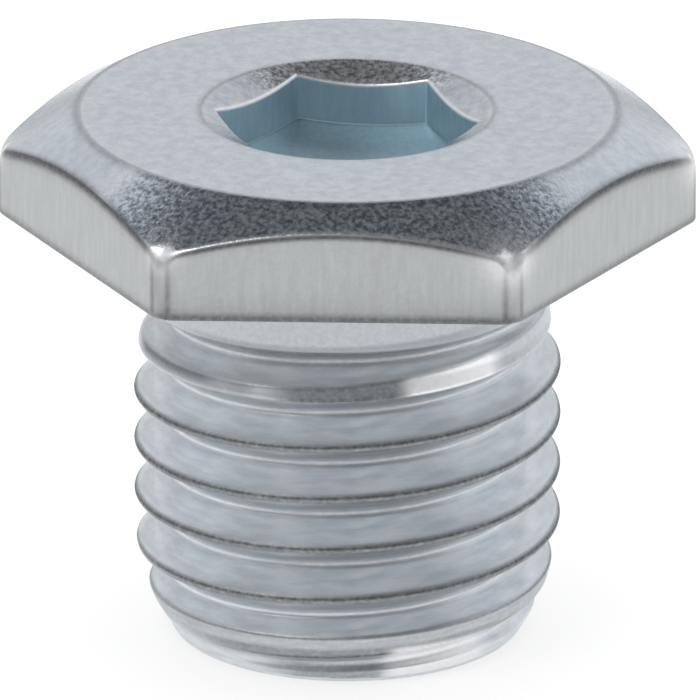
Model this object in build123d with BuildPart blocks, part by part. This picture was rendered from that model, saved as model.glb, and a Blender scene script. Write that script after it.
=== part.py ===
from build123d import *

import os
from math import atan, ceil, cos, degrees, radians, tan

# A cold-formed hexagon-head screw plug, M12 x 1.5, with a shallow hexagon socket in its head.
# All sizes are in millimetres and all angles in degrees. The plug stands on its threaded end:
# the origin is the centre of the end face, +Z points up to the head, and a flat of the hexagon
# faces -Y.

# Head
across_flats = 17.0
hexagon_sides = 6
head_height = 3.15
corner_trim = 0.13
top_flat_inset = 1.0
top_chamfer_angle = 29.5
rim_break = 0.15
head_edge_break = 0.1
seat_edge_break = 0.2

# Socket in the top of the head
socket_across_flats = 6.35
socket_wall_depth = 1.5
socket_floor_angle = 14.0
socket_turn = -5.5
countersink_margin = 0.43
countersink_angle = 25.0

# Shank, from the underside of the head down to the end face
shank_length = 12.0
neck_length = 2.8
crest_rise_length = 1.4
neck_corner = 0.25
lead_length = 1.65
lead_angle = 15.0
point_length = 1.05
point_angle = 30.0

# Rolled right-hand thread
thread_crest_diameter = 11.9
thread_pitch = 1.5
flank_angle = 30.0
crest_cut_share = 0.125
root_flat = 0.23
crest_to_neck_step = 0.315
thread_runout_gap = 1.925
thread_runout_turns = 0.35
thread_runout_start = 266.4
runout_clearance = 0.15

# The 60 degree profile: its flanks would meet at sharp_outside_radius above a crest, which is cut
# off at crest_radius, and at sharp_inside_radius in a groove. The pitch line is halfway between.
crest_radius = thread_crest_diameter / 2
sharp_depth = thread_pitch / 2 / tan(radians(flank_angle))
sharp_outside_radius = crest_radius + crest_cut_share * sharp_depth
pitch_line_radius = sharp_outside_radius - sharp_depth / 2
sharp_inside_radius = sharp_outside_radius - sharp_depth
root_radius = sharp_inside_radius + root_flat / 2 / tan(radians(flank_angle))

# The cutter of the groove ends outside the crests, short of where two turns of it would touch.
cutter_radius = (crest_radius + sharp_outside_radius) / 2
cutter_half_width = (cutter_radius - sharp_inside_radius) * tan(radians(flank_angle))

# The neck is the blank as it was before rolling, which lies between the crests and the roots.
neck_radius = crest_radius - crest_to_neck_step
lead_end_radius = crest_radius - lead_length * tan(radians(lead_angle))
end_face_radius = lead_end_radius - point_length * tan(radians(point_angle))

seat_height = shank_length
top_height = seat_height + head_height
crest_end_height = seat_height - neck_length - crest_rise_length
neck_end_height = seat_height - neck_length
lead_start_height = point_length + lead_length

# The groove has its full depth up to full_groove_height. Then it climbs out of the neck.
runout_end_height = seat_height - thread_runout_gap
full_groove_height = runout_end_height - thread_runout_turns * thread_pitch
groove_turns = ceil(full_groove_height / thread_pitch) + 1


def groove_cutter(turns, climb):
    """A helical cutter that starts at the origin plane and moves outwards by climb on its way up."""
    height = turns * thread_pitch
    cone_angle = degrees(atan(climb / height))
    slant_pitch = thread_pitch / cos(radians(cone_angle))
    with BuildPart() as cutter:
        with BuildLine() as path:
            Helix(slant_pitch, height, pitch_line_radius, cone_angle=cone_angle)
        with BuildSketch(Plane.XZ):
            with BuildLine():
                Polyline(
                    (root_radius, -root_flat / 2),
                    (cutter_radius, -cutter_half_width),
                    (cutter_radius, cutter_half_width),
                    (root_radius, root_flat / 2),
                    close=True,
                )
            make_face()
        sweep(path=path.line, is_frenet=True)
    return cutter.part


# Both hexagons come from their size across flats. The head's corners are trimmed round, its top
# flat stops short of the flats, and the countersink reaches past the corners of the socket.
corner_share = 1 / cos(radians(180 / hexagon_sides))
corner_radius = across_flats / 2 * corner_share - corner_trim
top_flat_radius = across_flats / 2 - top_flat_inset
chamfer_drop = (corner_radius - top_flat_radius) * tan(radians(top_chamfer_angle))
socket_corner_radius = socket_across_flats / 2 * corner_share
socket_floor_drop = socket_corner_radius * tan(radians(socket_floor_angle))
countersink_radius = socket_corner_radius + countersink_margin
countersink_depth = countersink_radius * tan(radians(countersink_angle))

# The space that the key takes up: a hexagonal prism whose floor falls as a shallow cone towards
# the middle, so that its walls are deepest halfway along each side.
with BuildPart() as socket_space:
    with BuildSketch(Plane.XY.offset(top_height - socket_wall_depth - socket_floor_drop)):
        RegularPolygon(socket_across_flats / 2, hexagon_sides, major_radius=False, rotation=socket_turn)
    extrude(amount=socket_wall_depth + socket_floor_drop)
    with BuildSketch(Plane.XZ):
        with BuildLine():
            Polyline(
                (0, top_height - socket_wall_depth - socket_floor_drop),
                (socket_corner_radius, top_height - socket_wall_depth),
                (socket_corner_radius, top_height),
                (0, top_height),
                close=True,
            )
        make_face()
    revolve(axis=Axis.Z, mode=Mode.INTERSECT)

# The head: a hexagonal prism, turned to a chamfer above and trimmed to a circle at its corners.
with BuildPart() as plug:
    with BuildSketch(Plane.XY.offset(seat_height)):
        RegularPolygon(across_flats / 2, hexagon_sides, major_radius=False)
    extrude(amount=head_height)
    with BuildSketch(Plane.XZ):
        with BuildLine():
            Polyline(
                (0, seat_height),
                (corner_radius, seat_height),
                (corner_radius, top_height - chamfer_drop),
                (top_flat_radius, top_height),
                (0, top_height),
                close=True,
            )
        make_face()
    revolve(axis=Axis.Z, mode=Mode.INTERSECT)
    chamfer(plug.edges().filter_by(GeomType.HYPERBOLA), head_edge_break)
    chamfer(plug.edges().filter_by(Axis.Z), head_edge_break)
    chamfer(plug.edges().group_by(Axis.Z)[0], seat_edge_break)
    chamfer(plug.edges().group_by(Axis.Z)[-1], rim_break)

    # The shank: neck, rise to the crests, threaded length, lead taper and chamfered point
    with BuildSketch(Plane.XZ):
        with BuildLine():
            Polyline(
                (0, 0),
                (end_face_radius, 0),
                (lead_end_radius, point_length),
                (crest_radius, lead_start_height),
                (crest_radius, crest_end_height),
                (neck_radius, neck_end_height),
                (neck_radius, seat_height - neck_corner),
                (neck_radius + neck_corner, seat_height),
                (0, seat_height),
                close=True,
            )
        make_face()
    revolve(axis=Axis.Z)

    # The thread is cut turn by turn, from the run-out down past the end face.
    full_turn = groove_cutter(turns=1, climb=0)
    turn_starts = [
        Location((0, 0, full_groove_height - turn * thread_pitch), (0, 0, thread_runout_start))
        for turn in range(1, groove_turns + 1)
    ]
    with Locations(*turn_starts):
        add(full_turn, mode=Mode.SUBTRACT)
    runout = groove_cutter(thread_runout_turns, neck_radius - root_radius + runout_clearance)
    with Locations(Location((0, 0, full_groove_height), (0, 0, thread_runout_start))):
        add(runout, mode=Mode.SUBTRACT)

    # The countersink and the socket
    with BuildSketch(Plane.XZ):
        with BuildLine():
            Polyline(
                (0, top_height),
                (countersink_radius, top_height),
                (0, top_height - countersink_depth),
                close=True,
            )
        make_face()
    revolve(axis=Axis.Z, mode=Mode.SUBTRACT)
    add(socket_space.part, mode=Mode.SUBTRACT)

plug.part.label = "plug"
os.makedirs("parts", exist_ok=True)
export_step(plug.part, "parts/plug.step")
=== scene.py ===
# %% [markdown]
# # A hexagon-head screw plug in zinc-plated steel
#
# The object is one solid piece of steel. A blank is pressed into a hexagon head with a key socket,
# its shank is rolled between dies into an M12 x 1.5 thread, and the whole is plated with zinc.
# The solid model fixes every size. This file dresses it: it draws the same form with the soft edges
# and round thread bottoms that pressing and rolling leave, and gives each surface its own finish.

from math import cos, radians, sin, tan

import bmesh
import bpy
import numpy as np
from mathutils import Matrix, Vector


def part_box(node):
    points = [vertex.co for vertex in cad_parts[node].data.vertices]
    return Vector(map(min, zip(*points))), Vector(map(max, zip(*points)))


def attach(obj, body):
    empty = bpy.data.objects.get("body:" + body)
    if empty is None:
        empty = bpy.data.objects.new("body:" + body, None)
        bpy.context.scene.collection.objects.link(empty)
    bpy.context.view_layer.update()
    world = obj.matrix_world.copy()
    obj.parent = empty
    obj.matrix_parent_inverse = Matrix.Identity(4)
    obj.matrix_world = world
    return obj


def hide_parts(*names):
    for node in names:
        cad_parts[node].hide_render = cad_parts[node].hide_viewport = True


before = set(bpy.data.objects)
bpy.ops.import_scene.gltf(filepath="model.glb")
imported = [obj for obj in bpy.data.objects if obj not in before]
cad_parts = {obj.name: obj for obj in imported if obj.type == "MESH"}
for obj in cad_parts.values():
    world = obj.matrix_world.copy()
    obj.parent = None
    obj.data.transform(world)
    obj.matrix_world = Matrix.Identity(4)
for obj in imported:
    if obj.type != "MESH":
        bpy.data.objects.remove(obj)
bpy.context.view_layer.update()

# %% [markdown]
# ## The sizes that both models share
#
# The values below repeat the solid model's, in millimetres and degrees, because the dressed surface
# has to lie on it. The box of the solid model is read, and its height and width are printed beside
# those of these sizes.

# %% Sizes of the plug
MM = 0.001
front_angle = 270.0

across_flats = 17.0
corner_trim = 0.13
top_flat_inset = 1.0
chamfer_angle = 29.5
shank_length = 12.0
head_height = 3.15

socket_across_flats = 6.35
socket_wall_depth = 1.5
socket_floor_angle = 14.0
socket_turn = -5.5
countersink_margin = 0.43
countersink_angle = 25.0

crest_radius = 5.95
pitch = 1.5
flank_angle = 30.0
neck_radius = 5.635
neck_corner = 0.25
crest_end_height = 7.8
neck_end_height = 9.2
point_length = 1.05
point_angle = 30.0
lead_length = 1.65
lead_angle = 15.0
runout_height = 9.55
runout_angle = 266.4

top_height = shank_length + head_height
corner_share = 1 / cos(radians(30))
corner_radius = across_flats / 2 * corner_share - corner_trim
top_flat_radius = across_flats / 2 - top_flat_inset
socket_corner_radius = socket_across_flats / 2 * corner_share
countersink_radius = socket_corner_radius + countersink_margin
lead_end_radius = crest_radius - lead_length * tan(radians(lead_angle))
end_radius = lead_end_radius - point_length * tan(radians(point_angle))

low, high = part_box("plug")
print("height of the solid model:", round(high.z / MM, 3), "mm, and of these sizes:", top_height)
print("across the corners:", round((high.x - low.x) / MM, 3), "mm, and", round(2 * corner_radius, 3))

# %% [markdown]
# ## One surface of columns and rows
#
# A turned or pressed part is easiest to draw as columns and rows. Each column is a half-plane through
# the axis at its own angle. Along it runs the outline of the part, and each row joins the same place
# of that outline on every column. A hexagon fits in as well: there the radius changes with the angle.
#
# A straight flat needs few columns, and a rounded corner many. So the columns crowd together at the
# six corners of the head, and again at the six corners of the socket, which is turned a little
# against the head. On the shank they are evenly spaced. Between two such regions, on a plane surface,
# the columns drift from one spacing to the other.

# %% Angles of the columns
crowd_half_width = 3.6
crowd_steps = 11
flat_steps = 20
first_corner = 60.0


def crowded_angles(turn):
    """Angles of all columns in degrees: even small steps about each corner, and large ones across a flat."""
    near = np.full(crowd_steps, crowd_half_width / crowd_steps)
    across = np.full(flat_steps, (60 - 2 * crowd_half_width) / flat_steps)
    steps = np.tile(np.concatenate([near, across, near]), 6)
    return first_corner + turn + np.concatenate([[0], np.cumsum(steps)])


head_angles = crowded_angles(0)
socket_angles = crowded_angles(socket_turn)
even_angles = first_corner + np.linspace(0, 360, len(head_angles))
column_count = len(head_angles) - 1
print("columns:", column_count)

# %% [markdown]
# ## Soft corners
#
# Two small tools shape every edge. One is the soft minimum: the lower of two heights, with the crease
# between them rounded off. The other rounds the corners of a profile drawn as a chain of points: each
# corner becomes an arc that touches both of its sides, so that rows follow the edges of the part.


# %% Soft minimum
def soft_min(a, b, width):
    """The lower of a and b, less a parabola of the given width where they cross, so it has no crease."""
    overlap = np.clip(width - np.abs(a - b), 0, None)
    return np.minimum(a, b) - overlap**2 / (4 * width)


print("soft minimum of 1 and 1 with width 0.2:", soft_min(np.array(1.0), np.array(1.0), 0.2))

# %% Rounded profile
most_of_a_side = 0.48


def rounded_profile(points, radii, arc_rows, straight_rows):
    """Rows along a chain of points with its inner corners turned to arcs, and the side each row is on.

    points is an array (columns, corners, radius and height). Each corner is cut back along both sides
    by radius * tan(turn / 2), though by no more than its share of the side, and the gap is filled by a
    rational curve that is an exact arc.
    """
    starts, stops, arcs = [points[:, 0]], [], []
    for k in range(1, points.shape[1] - 1):
        before = points[:, k - 1] - points[:, k]
        after = points[:, k + 1] - points[:, k]
        room = np.minimum(np.linalg.norm(before, axis=1), np.linalg.norm(after, axis=1)) * most_of_a_side
        before /= np.linalg.norm(before, axis=1)[:, None]
        after /= np.linalg.norm(after, axis=1)[:, None]
        half_turn = np.arccos(np.clip(-np.sum(before * after, axis=1), -1, 1)) / 2
        cut = np.minimum(radii[k - 1] * np.tan(half_turn), room)[:, None]
        first = points[:, k] + before * cut
        last = points[:, k] + after * cut
        weight = np.cos(half_turn)[:, None, None]
        s = np.linspace(0, 1, arc_rows[k - 1] + 1)[None, :, None]
        share = (1 - s) ** 2 + 2 * s * (1 - s) * weight + s**2
        middle = 2 * s * (1 - s) * weight * points[:, k][:, None]
        arcs.append(((1 - s) ** 2 * first[:, None] + middle + s**2 * last[:, None]) / share)
        stops.append(first)
        starts.append(last)
    stops.append(points[:, -1])
    rows, sides = [], []
    for k, (start, stop) in enumerate(zip(starts, stops)):
        shares = np.array(straight_rows[k])[None, :, None]
        rows.append(start[:, None] * (1 - shares) + stop[:, None] * shares)
        sides += [k] * shares.size
        if k < len(arcs):
            rows.append(arcs[k])
            half = arcs[k].shape[1] // 2
            sides += [k] * half + [k + 1] * (arcs[k].shape[1] - half)
    return np.concatenate(rows, axis=1), np.array(sides)


# %% [markdown]
# ## The shank and its rolled thread
#
# Rolling presses grooves into a smooth blank, and the steel it moves rises beside them. So the thread
# is worked out as a height field: at every angle and height, the radius is the lower of the blank and
# of the wall of the nearest groove, with a soft crease. The groove is a 60 degree V with a round
# bottom. It climbs by one pitch in a turn. Near the head it also moves outwards, until it has left
# the steel: that is the run-out, and there the skin of the blank shows as a wide flat crest.
#
# The rows lean with the thread. After one turn a row has risen by one pitch and meets the row that
# many steps above it, so every crest and every groove bottom lies along a row and stays sharp. Rows
# that would leave the ends of the shank are pressed flat onto them.

# %% Radius of the shank at an angle and a height
root_arc = 0.2
crest_softness = 0.15
point_edge_softness = 0.06
lead_edge_softness = 0.05
slope_softness = 0.02
crest_cut_share = 1 / 8
runout_climb = 2.157
sharp_depth = pitch / 2 / tan(radians(flank_angle))
sharp_inside_radius = crest_radius + crest_cut_share * sharp_depth - sharp_depth
shank_start = 0.12
shank_stop = 11.2


def helix_turns(angle, height):
    """Number of pitches between a point and the groove that ends at the run-out, whole in a groove."""
    return (height - runout_height) / pitch - (angle - runout_angle) / 360


def blank_radius(height):
    """Radius of the skin that the dies leave: point cone, lead cone, crests, and the slope to the neck.

    Over the crests the last soft minimum has equal sides and takes off a quarter of its width, which
    is added back.
    """
    point = end_radius + height * tan(radians(point_angle))
    lead = lead_end_radius + (height - point_length) * tan(radians(lead_angle))
    slope = (crest_radius - neck_radius) / (neck_end_height - crest_end_height)
    upper = np.maximum(crest_radius - (height - crest_end_height) * slope, neck_radius)
    skin = soft_min(soft_min(point, lead, point_edge_softness), crest_radius + 0 * height, lead_edge_softness)
    return soft_min(skin, upper, slope_softness) + slope_softness / 4


def groove_wall(angle, height):
    """Radius of the wall of the nearest groove: a V, its bottom an arc, lifted along the run-out."""
    turns = helix_turns(angle, height)
    nearest = np.round(turns)
    offset = np.abs(turns - nearest) * pitch
    slope = 1 / tan(radians(flank_angle))
    arc = 2 * root_arc - np.sqrt(np.clip(root_arc**2 - offset**2, 0, None))
    wall = np.where(offset < root_arc * cos(radians(flank_angle)), arc, offset * slope)
    lift = np.clip(nearest + (angle - runout_angle) / 360, 0, None) * runout_climb
    return sharp_inside_radius + wall + lift


def shank_radius(angle, height):
    """The lower of the blank and the groove wall, with a soft crease."""
    return soft_min(blank_radius(height), groove_wall(angle, height), crest_softness)


# %% Rows of the shank
rows_per_pitch = 28
row_step = pitch / rows_per_pitch
row_count = int(np.ceil((shank_stop - shank_start) / row_step)) + rows_per_pitch
column = np.arange(column_count + 1)[:, None]
row = np.arange(row_count + 1)[None, :]
shank_angle = np.repeat(even_angles[:, None], row_count + 1, axis=1)
climb = rows_per_pitch * column / column_count
shank_height = np.clip(shank_start + (row + climb - rows_per_pitch) * row_step, shank_start, shank_stop)
shank_r = shank_radius(shank_angle, shank_height)
print("shank rows:", row_count, "and radius from", shank_r.min().round(3), "to", shank_r.max().round(3), "mm")

# %% [markdown]
# ## The end face and the head
#
# The end face is a disc that turns up into the point. The head begins where the shank stops: up the
# last of the neck, out along the seat, up a flat, in over the chamfer and the top, down the
# countersink and the socket's wall, and in to the middle of its floor. Only the corners of the
# profile are written down. At each angle the flats decide how far out the side lies, and from that
# follows how high its upper edge is: the curved edge that every chamfered nut has.

# %% End face
end_edge_softness = 0.18


def column_profile(*corners):
    """Corners of a profile, each a radius and a height, brought to one array for all columns."""
    pairs = [np.stack(np.broadcast_arrays(r, z), axis=-1) for r, z in corners]
    return np.stack([np.broadcast_to(pair, (column_count + 1, 2)) for pair in pairs], axis=1).astype(float)


start_ring = shank_radius(even_angles, np.full(column_count + 1, shank_start))
foot_ring = start_ring - shank_start * tan(radians(point_angle))
end_corners = column_profile((0, 0), (foot_ring, 0), (start_ring, shank_start))
end_rows, _ = rounded_profile(end_corners, [end_edge_softness], [5], [[0, 0.3, 0.6, 0.85, 0.97], [0.5, 1]])
end_angle = np.repeat(even_angles[:, None], end_rows.shape[1], axis=1)
print("rows of the end face:", end_rows.shape[1])


# %% Outlines of the head and the socket
head_corner_softness = 0.09
socket_corner_softness = 0.05


def hexagon_radius(angle, size, turn):
    """Distance of the outline of a hexagon, with a flat towards -Y before it is turned, from its centre."""
    from_flat = (angle - turn) % 60 - 30
    return size / 2 / np.cos(np.radians(from_flat))


head_outline = hexagon_radius(head_angles, across_flats, 0)
side = soft_min(head_outline, np.full(column_count + 1, corner_radius), head_corner_softness)
side_top = top_height - (side - top_flat_radius) * tan(radians(chamfer_angle))
socket_outline = hexagon_radius(socket_angles, socket_across_flats, socket_turn)
wall = soft_min(socket_outline, np.full(column_count + 1, socket_corner_radius), socket_corner_softness)
wall_top = top_height - (countersink_radius - wall) * tan(radians(countersink_angle))
floor_edge = top_height - socket_wall_depth - (socket_corner_radius - wall) * tan(radians(socket_floor_angle))
floor_middle = top_height - socket_wall_depth - socket_corner_radius * tan(radians(socket_floor_angle))
stop_ring = shank_radius(even_angles, np.full(column_count + 1, shank_stop))
print("head from", side.min().round(3), "to", side.max().round(3), "mm from the axis")

# %% Rows of the head and the socket
seat_softness = 0.1
flat_edge_softness = 0.16
corner_tip_softness = 0.8
corner_tip_reach = 0.38
rim_softness = 0.3
countersink_softness = 0.2
socket_mouth_softness = 0.16
socket_edge_softness = 0.06

head_corners = column_profile(
    (stop_ring, shank_stop),
    (stop_ring, shank_length),
    (side, shank_length),
    (side, side_top),
    (top_flat_radius, top_height),
    (countersink_radius, top_height),
    (wall, wall_top),
    (wall, floor_edge),
    (0, floor_middle),
)
from_corner = np.abs((head_angles + 30) % 60 - 30) * radians(1) * corner_radius
flat_edge_radii = flat_edge_softness + corner_tip_softness * np.exp(-((from_corner / corner_tip_reach) ** 2))
head_radii = [
    neck_corner,
    seat_softness,
    flat_edge_radii,
    rim_softness,
    countersink_softness,
    socket_mouth_softness,
    socket_edge_softness,
]
row_shares = [0.02, 0.05, 0.1, 0.2, 0.35, 0.5, 0.65, 0.8, 0.9, 0.95, 0.98]
straight_rows = [[0, 0.4, 0.9], *[row_shares] * 6, row_shares + [1]]
head_rows, head_sides = rounded_profile(head_corners, head_radii, [6, 6, 7, 8, 6, 6, 4], straight_rows)
print("rows of the head:", head_rows.shape[1])

# %% [markdown]
# The columns change their angles on the seat and on the top face, which are plane, so nothing bends.
# The share below says how far each row has gone from one spacing to the next.

# %% Angles of the head's rows
seat_margin = 0.3
top_margin = 0.4

seat_width = (side - stop_ring - 2 * seat_margin)[:, None]
seat_share = np.clip((head_rows[..., 0] - stop_ring[:, None] - seat_margin) / seat_width, 0, 1)
above_seat = head_rows[..., 1] > shank_length + 0.001
seat_share = np.where(above_seat, 1, seat_share)

top_width = top_flat_radius - countersink_radius - 2 * top_margin
top_share = np.clip((top_flat_radius - top_margin - head_rows[..., 0]) / top_width, 0, 1)
far_below_top = head_rows[..., 1] < shank_length + 0.5
top_share = np.where(far_below_top, 0, top_share)
inside = np.arange(head_rows.shape[1])[None, :] > np.argmax(top_share >= 1, axis=1)[:, None]
top_share = np.where(inside, 1, top_share)
head_angle = even_angles[:, None] * (1 - seat_share) + head_angles[:, None] * seat_share
head_angle = head_angle * (1 - top_share) + socket_angles[:, None] * top_share
print("rows wholly at the socket's angles:", int((top_share >= 1).all(axis=0).sum()))

# %% [markdown]
# ## From grids to one closed mesh
#
# Each grid becomes a sheet of four-sided faces. The sheets share their border points, and the first
# and last column of each share theirs, so points that fall together are made one. Faces that lost an
# edge that way become triangles, and those that shrank to a line are dropped.

# %% Points and faces of a grid
def grid_points(angle, radius, height):
    """Points on circles about the axis: radius times cosine and sine of the angle, and the height."""
    turned = np.radians(angle)
    return np.stack([radius * np.cos(turned), radius * np.sin(turned), height], axis=-1) * MM


def grid_faces(columns, rows, first):
    """Four corners of every cell of a grid whose points are numbered row by row within each column."""
    i, j = np.meshgrid(np.arange(columns - 1), np.arange(rows - 1), indexing="ij")
    corner = first + i * rows + j
    return np.stack([corner, corner + rows, corner + rows + 1, corner + 1], axis=-1).reshape(-1, 4)


# %% Join the grids
weld_step = 1e-8
smallest_area = 1e-14
side_finishes = {
    "neck": "shank",
    "seat": "flat",
    "flat": "flat",
    "chamfer": "chamfer",
    "top": "top",
    "countersink": "countersink",
    "wall": "socket",
    "floor": "socket",
}
head_region = np.array(list(side_finishes.values()))
finish_names = list(dict.fromkeys(side_finishes.values()))
sheets = [
    (end_angle, end_rows[..., 0], end_rows[..., 1], np.full(end_rows.shape[1], "shank")),
    (shank_angle, shank_r, shank_height, np.full(shank_r.shape[1], "shank")),
    (head_angle, head_rows[..., 0], head_rows[..., 1], head_region[head_sides]),
]
points, faces, finish_of_face, first = [], [], [], 0
for angle, radius, height, region in sheets:
    points.append(grid_points(angle, radius, height).reshape(-1, 3))
    faces.append(grid_faces(*angle.shape, first))
    finish_of_row = np.array([finish_names.index(name) for name in region[:-1]])
    finish_of_face.append(np.tile(finish_of_row, angle.shape[0] - 1))
    first += angle.size
points, faces, finish_of_face = np.concatenate(points), np.concatenate(faces), np.concatenate(finish_of_face)

snapped = np.round(points / weld_step).astype(np.int64)
welded, place, index = np.unique(snapped, axis=0, return_index=True, return_inverse=True)
welded = welded * weld_step
faces = index.reshape(-1)[faces]
first_diagonal = welded[faces[:, 2]] - welded[faces[:, 0]]
second_diagonal = welded[faces[:, 3]] - welded[faces[:, 1]]
area = np.linalg.norm(np.cross(first_diagonal, second_diagonal), axis=1)
faces, finish_of_face = faces[area > smallest_area], finish_of_face[area > smallest_area]
print("points:", len(welded), "faces:", len(faces))

# %% [markdown]
# ## Where the surface is rough or dirty, and where shade and highlights are painted
#
# Each edge of the head has a thin dark line, and some have a painted highlight beside it. Under the
# head's lower edge and in the crease round the socket's floor, the dark line is painted shade. The dies
# never touch the crests of the thread, so these stay dark, and the grooves and the lower flanks under
# the crests get painted shade, most in front. The first crest under the neck is the widest: in front
# it is coarse and dark, and a little to the right it has a painted highlight. The point has painted
# shade in front, where it mirrors the floor's shadow, and a painted highlight to the right. The neck,
# the front of the chamfer, the back of the countersink and the socket's floor show a second skin,
# with a tone of its own.
#
# Such marks could be painted by hand, but then they would stay behind when a size changes. Here the
# distance from every edge is known, so the marks are worked out from it. Three numbers at every
# point say how dark it is, with its painted shade, how much painted highlight it has, and how much it
# shows the second skin.


# %% Soft steps and lines
def fade(low, high, value):
    """Smooth step from 0 at low to 1 at high, 3s^2 - 2s^3 between. High may be the lower of the two."""
    s = np.clip((value - low) / (high - low), 0, 1)
    return s * s * (3 - 2 * s)


def between(value, start, full, last, end):
    """Rises from 0 at start to 1 at full, stays, and falls from 1 at last to 0 at end."""
    return fade(start, full, value) * fade(end, last, value)


def line(distance, half_width):
    """A soft line: 1 on the line, falling off as the bell curve exp(-(distance / half_width)^2)."""
    return np.exp(-((distance / half_width) ** 2))


def near(rows, radius, height):
    """Distance of each row from an edge, given by its radius and height on every column."""
    edge = np.stack(np.broadcast_arrays(radius, height), axis=-1).reshape(-1, 1, 2)
    return np.linalg.norm(rows - edge, axis=2)


# %% Distances on the head
# Each line is given by the radius and height of its corner, shifted by some hundredths of a
# millimetre to where it shows on the rounded edge.
edge_lines = {
    "seat": (side - 0.02, shank_length + 0.1),
    "flat": (side, side_top - 0.08),
    "flat_highlight": (side - 0.07, side_top + 0.03),
    "rim": (top_flat_radius + 0.02, top_height),
    "rim_highlight": (top_flat_radius - 0.17, top_height),
    "mouth": (countersink_radius, top_height),
    "mouth_highlight": (countersink_radius - 0.12, top_height - 0.05),
    "socket_highlight": (wall + 0.03, wall_top),
    "floor": (wall, floor_edge),
}
away = {name: near(head_rows, radius, height) for name, (radius, height) in edge_lines.items()}
on = {name: head_sides == k for k, name in enumerate(side_finishes)}

row_height = head_rows[..., 1]
on_flat = fade(shank_length + 0.1, shank_length + 0.3, row_height) * (seat_share > 0.99) * (top_share < 0.01)
on_flat = on_flat * fade(0.02, -0.1, row_height - side_top[:, None])
from_corner = from_corner[:, None]
from_tip = np.hypot(away["flat_highlight"], from_corner)
from_front_of_head = np.abs(head_angles[:, None] - front_angle)
from_back_of_head = np.abs((socket_angles[:, None] + 90) % 360 - 180)
front_flat = fade(31, 29, from_front_of_head)
off_tip = fade(0.3, 0.6, from_corner)
print("farthest point from a corner of the head:", from_corner.max().round(2), "mm")

# %% Marks on the head
# Each mark is its strength times the place where it shows. Half-widths of lines are in millimetres,
# and angles in degrees.
# Dark lines along the edges. The two along the seat edge are painted shade under the head, stronger in front, and
# the one round the socket's floor is painted shade in its crease.
dark_lines_and_shade = [
    (0.5 + 0.1 * front_flat) * line(away["seat"], 0.14),
    0.16 * front_flat * line(away["seat"], 0.6),
    0.9 * front_flat * off_tip * line(away["flat"], 0.08),
    0.85 * (1 - front_flat) * off_tip * line(away["flat"], 0.16),
    0.4 * line(away["rim"], 0.15),
    0.3 * line(away["mouth"], 0.09),
    0.5 * line(away["floor"], 0.06),
    0.45 * on_flat * line(from_corner - 0.25, 0.08),
    0.12 * on_flat * line(from_corner, 0.2),
]
# Painted highlights: thin light lines beside the flat edges in front, the rim, the countersink's mouth and the
# socket's mouth, and a patch at each corner tip, of two widths. The streaks are lighter lines across the chamfer
# at 221 and 319 degrees.
tip_width = 0.45 + 0.3 * (head_angles[:, None] > front_angle)
streak = 0.4 * line(head_angles - 221, 3.5) + 0.15 * line(head_angles - 319, 3.5)
highlight_marks = [
    0.8 * front_flat * line(away["flat_highlight"], 0.07),
    0.4 * line(away["rim_highlight"], 0.06),
    0.2 * line(away["mouth_highlight"], 0.06),
    line(away["socket_highlight"], 0.06),
    line(from_tip, tip_width),
    streak[:, None] * on["chamfer"],
]
skin_marks = [
    1.0 * (on["neck"] | on["floor"]),
    fade(52, 42, from_front_of_head) * on["chamfer"],
    fade(52, 36, from_back_of_head) * on["countersink"],
]
head_dark_and_shade = np.clip(sum(dark_lines_and_shade), 0, 1)
head_highlight = np.clip(sum(highlight_marks), 0, 1)
head_skin = sum(skin_marks)
print("darkest and lightest mark on the head:", head_dark_and_shade.max().round(2), head_highlight.max().round(2))

# %% Distances on the thread
turns = helix_turns(shank_angle, shank_height)
in_turn = turns % 1
from_crest = np.abs(in_turn - 0.5) * pitch
from_groove = ((turns + 0.5) % 1 - 0.5) * pitch
from_front = (shank_angle - front_angle + 180) % 360 - 180
wall_over_skin = groove_wall(shank_angle, shank_height) - blank_radius(shank_height)
untouched = fade(-0.05, 0.1, wall_over_skin)
first_crest = untouched * between(turns, -1.0, -0.9, -0.1, 0.0)
below_first_crest = np.maximum(fade(-0.85, -0.95, turns), fade(120, 65, shank_angle) * (turns < 0))
on_last_crest = between(shank_height, 0.6, 0.9, 2.3, 2.7)
print("share of the shank that the dies left untouched:", (untouched > 0.5).mean().round(2))

# %% Marks on the thread
# The crests: a dull band with a darker upper edge, and the last crest by the point, with both edges.
crest = 0.75 * fade(0.16, 0.08, from_crest) + 0.27 * line((in_turn - 0.537) * pitch, 0.05)
crest = crest * below_first_crest * fade(2.3, 2.7, shank_height)
last_crest = (0.32 * untouched + 0.6 * line(wall_over_skin, 0.07)) * on_last_crest

# Painted shade in the grooves, which is thickest in front, and on the lower flanks under the crests.
middle = between(from_front, -45, -10, 15, 45)
groove = (0.1 + 0.25 * middle) * line(from_groove, 0.12) * (1 - untouched) * fade(1.8, 2.4, shank_height)
first_groove = fade(-0.6, -0.45, turns) * (1 - untouched) * fade(65, 120, shank_angle)
lower_flank = between(in_turn, 0.1, 0.2, 0.4, 0.46) * between(from_front, -60, -30, 30, 60)

# The first crest: coarse in front, with a painted highlight to the right, and with a dirty upper edge to the
# left.
coarse = first_crest * between(from_front, -26, -10, 16, 26)
shank_highlight = first_crest * between(from_front, 15, 22, 46, 48)
edge_dirt = first_crest * between(from_front, -84, -72, -44, -34) * line((in_turn - 0.58) * pitch, 0.16)

# The point: painted shade in front, where it mirrors the floor's shadow, and a painted highlight to the right.
point_shade = fade(0.75, 0.5, shank_height) * between(from_front, -30, -12, 10, 15)
shank_highlight = shank_highlight + fade(1.3, 1.1, shank_height) * between(from_front, 12, 18, 45, 55)

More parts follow.
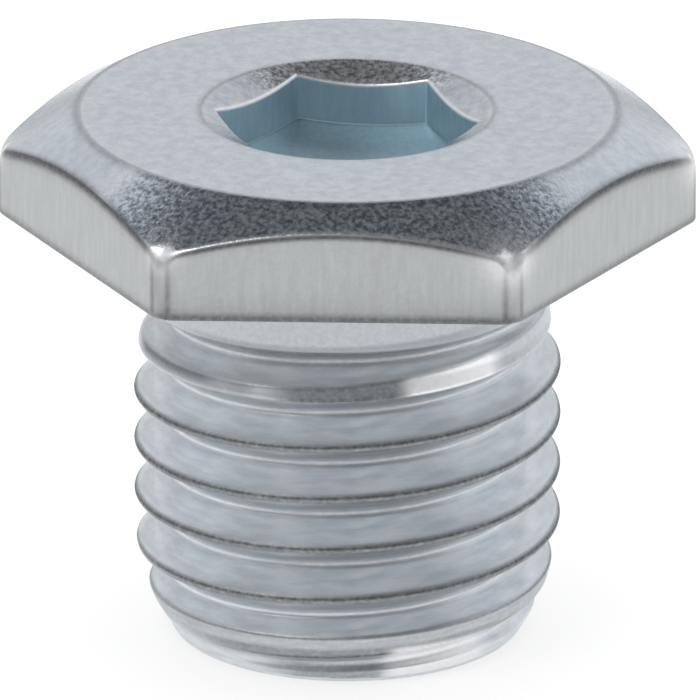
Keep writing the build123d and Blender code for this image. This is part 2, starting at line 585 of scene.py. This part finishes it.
shank_dark_and_shade = 0.95 * crest + last_crest + groove + 0.1 * first_groove + 0.3 * lower_flank
shank_dark_and_shade = np.clip(shank_dark_and_shade + 0.72 * coarse + 0.65 * edge_dirt + 0.5 * point_shade, 0, 1)
skin_beside_highlight = between(np.abs(from_front - 12), 35, 41, 90, 120)
shank_skin = np.maximum(untouched * fade(9.5, 9.9, shank_height), first_crest * skin_beside_highlight)
print("darkest mark on the thread:", shank_dark_and_shade.max().round(2))

# %% [markdown]
# The blotches of the plating follow the thread. A pattern on plain coordinates would cut through the
# crests, and one wrapped round a cylinder would have a seam. So each point also gets its place
# across the thread as a small circle, cosine and sine, which closes on itself after every pitch.

# %% The pattern's place across the thread
wave_radius = pitch / (2 * np.pi)
wave = np.stack([np.cos(2 * np.pi * turns), np.sin(2 * np.pi * turns)], axis=-1) * wave_radius * MM
marks_by_sheet = [
    (np.zeros_like(end_angle), np.zeros_like(end_angle), np.zeros_like(end_angle)),
    (shank_dark_and_shade, shank_highlight, shank_skin),
    (head_dark_and_shade, head_highlight, head_skin),
]
wave_by_sheet = [np.zeros(end_angle.shape + (2,)), wave, np.zeros(head_angle.shape + (2,))]
marks = np.concatenate([np.stack(three, axis=-1).reshape(-1, 3) for three in marks_by_sheet])[place]
thread_wave = np.concatenate([pair.reshape(-1, 2) for pair in wave_by_sheet])[place]
print("marked points:", len(marks))


# %% Put the surface into a mesh
def closed_mesh(name, points, quads, finish_of_quad):
    """A mesh from points and four-cornered faces, where a corner that is repeated is left out."""
    keep = quads != np.roll(quads, 1, axis=1)
    loops = quads[keep]
    sizes = keep.sum(axis=1)
    mesh = bpy.data.meshes.new(name)
    mesh.vertices.add(len(points))
    mesh.vertices.foreach_set("co", points.astype(np.float32).ravel())
    mesh.loops.add(len(loops))
    mesh.loops.foreach_set("vertex_index", loops.astype(np.int32))
    mesh.polygons.add(len(sizes))
    mesh.polygons.foreach_set("loop_start", np.concatenate([[0], np.cumsum(sizes)[:-1]]).astype(np.int32))
    mesh.polygons.foreach_set("use_smooth", np.ones(len(sizes), bool))
    mesh.polygons.foreach_set("material_index", finish_of_quad.astype(np.int32))
    mesh.update(calc_edges=True)
    mesh.validate()
    return mesh


mesh = closed_mesh("plug_surface", welded, faces, finish_of_face)
for name, values in (("edge_marks", marks), ("thread_wave", np.pad(thread_wave, ((0, 0), (0, 1))))):
    attribute = mesh.attributes.new(name, "FLOAT_VECTOR", "POINT")
    attribute.data.foreach_set("vector", values.astype(np.float32).ravel())

# %% Test the mesh and place it
check = bmesh.new()
check.from_mesh(mesh)
open_edges = sum(1 for edge in check.edges if len(edge.link_faces) != 2)
print("edges without two faces:", open_edges, "volume:", round(check.calc_volume(signed=True) / MM**3, 1), "mm3")
check.free()

plug = bpy.data.objects.new("plug_surface", mesh)
bpy.context.scene.collection.objects.link(plug)
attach(plug, "root")
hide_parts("plug")
mesh.calc_loop_triangles()
print("triangles:", len(mesh.loop_triangles))

# %% [markdown]
# ## Six finishes of one plating
#
# The whole plug has the same bright zinc, but the steel under it was left by different tools, and
# zinc shows the grain of what it covers. One material with one noise would make the plug look cast.
# So every finish is the same recipe with its own numbers: a metal with two tones of zinc in soft
# blotches, a fine grain that also roughens it, and the marks from above. On the thread the blotches
# are drawn out along the groove, and on the flats and the socket's walls from top to bottom.
#
# The crystals of bright zinc are only some thousandths of a millimetre across, too fine to show. The
# grain is therefore drawn at 0.08 to 0.12 mm, three to four pixels of the picture, and the coarse
# grain at 0.14 mm, or five pixels.


# %% Tools for materials
def linear(code):
    """The linear colour of an sRGB hex value."""
    parts = [int(code[i : i + 2], 16) / 255 for i in (1, 3, 5)]
    return [c / 12.92 if c <= 0.04045 else ((c + 0.055) / 1.055) ** 2.4 for c in parts] + [1.0]


def add_node(tree, kind, inputs=None, output=0, **settings):
    """Adds a node, sets its properties, gives each input a value or a link, and returns an output."""
    node = tree.nodes.new("ShaderNode" + kind)
    for name, value in settings.items():
        setattr(node, name, value)
    for name, value in (inputs or {}).items():
        if isinstance(value, bpy.types.NodeSocket):
            tree.links.new(value, node.inputs[name])
        else:
            node.inputs[name].default_value = value
    return node.outputs[output]


# %% Zinc plating
coarse_grain = 0.14
# The colour of the painted highlights.
highlight_white = "#F8F8F9"
plain_skin = ("#B6B9BE", "#ADB1B6")
least_of_a_mark = 0.75
roughness_of_highlight = 0.1
roughness_of_dark_and_shade = 0.25

# A noise keeps near its middle. These ends stretch it, so that both of its tones show.
noise_ends = {"From Min": 0.36, "From Max": 0.64}


def zinc_plating(name, light, dark, dark_and_shade_tone, blotch, stretch, grain, relief, rough, rough_grain, skin=plain_skin):
    """Plated steel: two tones in blotches, a grain, and the marks; sizes and relief in millimetres."""
    zinc = bpy.data.materials.new(name)
    zinc.use_nodes = True
    tree = zinc.node_tree

    # Where the point is, how it is marked, and its place along the drawn-out pattern
    place = add_node(tree, "TexCoord", output="Object")
    mark = add_node(tree, "Attribute", output="Vector", attribute_name="edge_marks")
    mark = add_node(tree, "SeparateXYZ", {0: mark}).node.outputs
    wave = add_node(tree, "Attribute", output="Vector", attribute_name="thread_wave")
    wave = add_node(tree, "SeparateXYZ", {0: wave}).node.outputs
    drawn_out = add_node(tree, "VectorMath", {0: place, 1: stretch}, operation="MULTIPLY")
    across = add_node(tree, "CombineXYZ", {"Z": wave["X"]})
    along = add_node(tree, "VectorMath", {0: drawn_out, 1: across}, operation="ADD")

    # The blotches of the plating, its fine grain, and the coarse grain of the cut steel
    cloud_inputs = {"Vector": along, "W": wave["Y"], "Scale": 1 / (blotch * MM), "Detail": 4.0, "Roughness": 0.6}
    cloud = add_node(tree, "TexNoise", cloud_inputs, noise_dimensions="4D")
    fine_inputs = {"Vector": place, "Scale": 1 / (grain * MM), "Detail": 2.0, "Roughness": 0.7}
    fine = add_node(tree, "TexNoise", fine_inputs)
    coarse_inputs = {"Vector": place, "Scale": 1 / (coarse_grain * MM), "Detail": 2.0, "Roughness": 0.6}
    coarse = add_node(tree, "TexNoise", coarse_inputs)

    # Colour: blotches, then the second skin, dark lines with painted shade, and painted highlights over them
    broken = {"Value": coarse, "From Min": 0.3, "From Max": 0.6, "To Min": least_of_a_mark, "To Max": 1.0}
    broken = add_node(tree, "MapRange", broken)
    dark_and_shade_line = add_node(tree, "Math", {0: mark["X"], 1: broken}, operation="MULTIPLY")
    highlight_line = add_node(tree, "Math", {0: mark["Y"], 1: broken}, operation="MULTIPLY")
    skin_share = add_node(tree, "MapRange", {"Value": coarse, **noise_ends})
    skin_tones = {0: skin_share, 6: linear(skin[1]), 7: linear(skin[0])}
    skin_tone = add_node(tree, "Mix", skin_tones, 2, data_type="RGBA")
    cloud_share = add_node(tree, "MapRange", {"Value": cloud, **noise_ends})
    tone = add_node(tree, "Mix", {0: cloud_share, 6: linear(dark), 7: linear(light)}, 2, data_type="RGBA")
    for amount, colour in ((mark["Z"], skin_tone), (dark_and_shade_line, linear(dark_and_shade_tone)), (highlight_line, linear(highlight_white))):
        tone = add_node(tree, "Mix", {0: amount, 6: tone, 7: colour}, 2, data_type="RGBA")

    # Roughness: the grain, and rougher under the painted highlights and under the dark lines and painted shade
    grain_roughness = {"Value": fine, "From Min": 0.35, "From Max": 0.65}
    grain_roughness.update({"To Min": rough, "To Max": rough + rough_grain})
    rougher = add_node(tree, "MapRange", grain_roughness)
    for amount, added in ((highlight_line, roughness_of_highlight), (mark["X"], roughness_of_dark_and_shade)):
        rougher = add_node(tree, "Math", {0: amount, 1: added, 2: rougher}, operation="MULTIPLY_ADD")
    height = add_node(tree, "Math", {0: fine, 1: relief * MM}, operation="MULTIPLY")
    bumped = add_node(tree, "Bump", {"Height": height, "Distance": 1.0})

    shader = tree.nodes["Principled BSDF"]
    shader.inputs["Metallic"].default_value = 1.0
    for socket, output in (("Base Color", tone), ("Roughness", rougher), ("Normal", bumped)):
        tree.links.new(output, shader.inputs[socket])
    print(name, "has", len(tree.nodes), "nodes")
    return zinc


# %% The six finishes
finishes = {}

# Zinc on rolled steel. The dies burnish the flanks and the plating follows them round, so the eye
# sees soft stripes along the groove and dull, dark crests.
finishes["shank"] = zinc_plating(
    "zinc_on_rolled_thread", light="#E4E8EB", dark="#CFD5DA", dark_and_shade_tone="#5E5F5F", skin=("#BCBFC4", "#B3B7BC"),
    blotch=0.12, stretch=(0.12, 0.12, 0.0), grain=0.09, relief=0.002, rough=0.3, rough_grain=0.12,
)
# Zinc on pressed steel. The punch slides down the flats and leaves them grey and satin, with faint
# lines from top to bottom.
finishes["flat"] = zinc_plating(
    "zinc_on_pressed_flats", light="#B1B4B5", dark="#A9ABAC", dark_and_shade_tone="#4A4A4B",
    blotch=0.2, stretch=(1.0, 1.0, 0.15), grain=0.08, relief=0.0012, rough=0.28, rough_grain=0.1,
)
# Zinc on turned steel. The chamfer is the smoothest and most mirror-like face, and where it shows the
# dark of the room, in front, its grain stands out in two tones.
finishes["chamfer"] = zinc_plating(
    "zinc_on_grainy_chamfer", light="#D1D7DD", dark="#C1C7CD", dark_and_shade_tone="#46484B", skin=("#DEE7F0", "#848D97"),
    blotch=0.3, stretch=(1.0, 1.0, 1.0), grain=0.12, relief=0.008, rough=0.17, rough_grain=0.1,
)
# Zinc on a flat-pressed face. The top is pale and even, with wide faint clouds.
finishes["top"] = zinc_plating(
    "zinc_on_top_face", light="#D2D6DB", dark="#BFC5CB", dark_and_shade_tone="#83827F",
    blotch=0.35, stretch=(1.0, 1.0, 1.0), grain=0.08, relief=0.002, rough=0.26, rough_grain=0.1,
)
# Zinc on a coarsely cut cone. The back of the countersink glitters dark and light.
finishes["countersink"] = zinc_plating(
    "zinc_on_countersink", light="#C6CBD0", dark="#B0B5BA", dark_and_shade_tone="#6F6E6C", skin=("#F6F8FA", "#94979A"),
    blotch=0.3, stretch=(1.0, 1.0, 1.0), grain=0.12, relief=0.006, rough=0.2, rough_grain=0.1,
)
# Passivated zinc in a recess. The bath leaves the socket blue, and the walls mirror each other softly.
finishes["socket"] = zinc_plating(
    "blue_zinc_in_the_socket", light="#D5E5EC", dark="#C8DAE3", dark_and_shade_tone="#8298A0", skin=("#B0C7D1", "#A3BCC7"),
    blotch=0.2, stretch=(1.0, 1.0, 0.2), grain=0.08, relief=0.001, rough=0.36, rough_grain=0.1,
)
for name in finish_names:
    mesh.materials.append(finishes[name])

# %% [markdown]
# ## Studio
#
# Polished metal shows the room more than its own colour, so the room makes the picture. The plug
# stands on a white floor between white walls. Straight overhead the room is dark, which gives the
# front of the chamfer its dark tone, and it is dimmer in front, to the left and along the horizon,
# which draws the edges. Lamps alone could not do that, so the world's strength changes with the
# direction.
#
# A large soft lamp overhead lights the floor only, so the floor keeps the plug's shadow. A small lamp
# at the front left puts the thin white line on the rounded edges of the head. The camera sees the
# floor as plain white. In the metal the floor's glow fades away from the plug, so the sides of the
# head don't melt into the background.

# %% Floor
floor_half_width = 1.5
floor_grey = "#EDEDED"
glow_white = "#FFFFFF"
glow_fades_from, glow_fades_to = 0.08, 0.2
far_glow = 0.5
camera_glow_share = 0.75
mirror_glow_share = 0.7

floor_corners = [(x * floor_half_width, y * floor_half_width, 0) for x, y in ((-1, -1), (1, -1), (1, 1), (-1, 1))]
floor_mesh = bpy.data.meshes.new("floor")
floor_mesh.from_pydata(floor_corners, [], [(0, 1, 2, 3)])
floor = bpy.data.objects.new("floor", floor_mesh)
bpy.context.scene.collection.objects.link(floor)

white = bpy.data.materials.new("white_floor")
white.use_nodes = True
tree = white.node_tree
tree.nodes.remove(tree.nodes["Principled BSDF"])
ray = add_node(tree, "LightPath").node.outputs
place_on_floor = add_node(tree, "TexCoord", output="Object")
reach = add_node(tree, "VectorMath", {0: place_on_floor}, "Value", operation="LENGTH")
glow_by_reach = {"Value": reach, "From Min": glow_fades_from, "From Max": glow_fades_to}
glow_by_reach.update({"To Min": 1.0, "To Max": far_glow})
strength = add_node(tree, "MapRange", glow_by_reach)
strength = add_node(tree, "Math", {0: ray["Is Camera Ray"], 1: strength}, operation="MAXIMUM")
seen = add_node(tree, "Math", {0: ray["Is Camera Ray"], 1: camera_glow_share}, operation="MULTIPLY")
seen = add_node(tree, "Math", {0: ray["Is Glossy Ray"], 1: mirror_glow_share, 2: seen}, operation="MULTIPLY_ADD")
matt = add_node(tree, "BsdfDiffuse", {"Color": linear(floor_grey)})
glow = add_node(tree, "Emission", {"Color": linear(glow_white), "Strength": strength})
mixed = add_node(tree, "MixShader", {0: seen, 1: matt, 2: glow})
tree.links.new(mixed, tree.nodes["Material Output"].inputs["Surface"])
floor_mesh.materials.append(white)
print("floor:", 2 * floor_half_width, "m wide")


# %% Lamps
def disk_lamp(name, place, target, size, energy):
    """A round area lamp at a place, size metres across, that faces the target."""
    data = bpy.data.lights.new(name, "AREA")
    data.shape = "DISK"
    data.size = size
    data.energy = energy
    lamp = bpy.data.objects.new(name, data)
    lamp.location = place
    lamp.rotation_euler = (Vector(place) - Vector(target)).to_track_quat("Z", "Y").to_euler()
    bpy.context.scene.collection.objects.link(lamp)
    print(name, "at", place, "with", energy, "W")
    return lamp


floor_lamp = disk_lamp("floor_lamp", (0.0, 0.1, 1.1), target=(0.0, 0.1, 0.0), size=1.6, energy=24.5)
floor_lamp.visible_glossy = False
disk_lamp("edge_lamp", (-0.53, -0.53, 0.775), target=(0.0, 0.0, 0.0), size=0.58, energy=2.3)

# %% World
# Each band dims one side of the room. It goes along one axis of the direction, from start to end, and
# the strength goes from the first level to the second on the way.
bands = {
    "overhead": {"axis": "Z", "start": 0.74, "end": 0.82, "levels": (0.88, 0.18)},
    "front": {"axis": "Y", "start": -0.65, "end": -0.2, "levels": (0.32, 1.0)},
    "left": {"axis": "X", "start": -0.95, "end": -0.2, "levels": (0.78, 1.0)},
    "horizon": {"axis": "Z", "start": 0.0, "end": 0.15, "levels": (0.5, 1.0)},
}
world = bpy.data.worlds.new("white_room")
bpy.context.scene.world = world
world.use_nodes = True
tree = world.node_tree
direction = add_node(tree, "TexCoord", output="Generated")
direction = add_node(tree, "SeparateXYZ", {0: direction}).node.outputs
level = 1.0
for band in bands.values():
    span = {"Value": direction[band["axis"]], "From Min": band["start"], "From Max": band["end"]}
    span.update({"To Min": band["levels"][0], "To Max": band["levels"][1]})
    dimmed = add_node(tree, "MapRange", span, interpolation_type="SMOOTHSTEP")
    level = add_node(tree, "Math", {0: dimmed, 1: level}, operation="MULTIPLY")
sky = tree.nodes["Background"]
tree.links.new(level, sky.inputs["Strength"])
sky.inputs["Color"].default_value = linear("#FAFCFF")
print("bands of the room:", ", ".join(bands))

# %% [markdown]
# ## Camera
#
# The photograph was taken from 20 degrees above the horizon and nearly straight in front of a flat.
# The camera stands where lines that are parallel on the plug run together as they do there, and it
# aims so that the middle of the seat falls on its own pixel of the 700 by 700 frame.

# %% Camera
elevation, azimuth = radians(20.35), radians(-88.0)
camera_distance = 409.1
focal_length = 756.9
frame_centre = 350
seat_pixel = (347.3, 215.3)
pixels_per_mm = 35.98

seat_centre = Vector((0, 0, shank_length)) * MM
outwards = Vector((cos(elevation) * cos(azimuth), cos(elevation) * sin(azimuth), sin(elevation)))
camera_place = seat_centre + outwards * camera_distance * MM
right = Vector((-sin(azimuth), cos(azimuth), 0))
up = outwards.cross(right)
shift = right * (frame_centre - seat_pixel[0]) - up * (frame_centre - seat_pixel[1])
aim = seat_centre + shift / pixels_per_mm * MM

camera_data = bpy.data.cameras.new("camera")
camera_data.lens = focal_length
camera_data.sensor_width = 36
camera_data.clip_start = 0.01
camera = bpy.data.objects.new("camera", camera_data)
look = (camera_place - aim).to_track_quat("Z", "Y").to_matrix().to_4x4()
camera.matrix_world = Matrix.Translation(camera_place) @ look
bpy.context.scene.collection.objects.link(camera)
bpy.context.scene.camera = camera
bpy.context.scene.view_settings.view_transform = "Standard"
print("camera stands", [round(c, 3) for c in camera_place], "m from the origin")
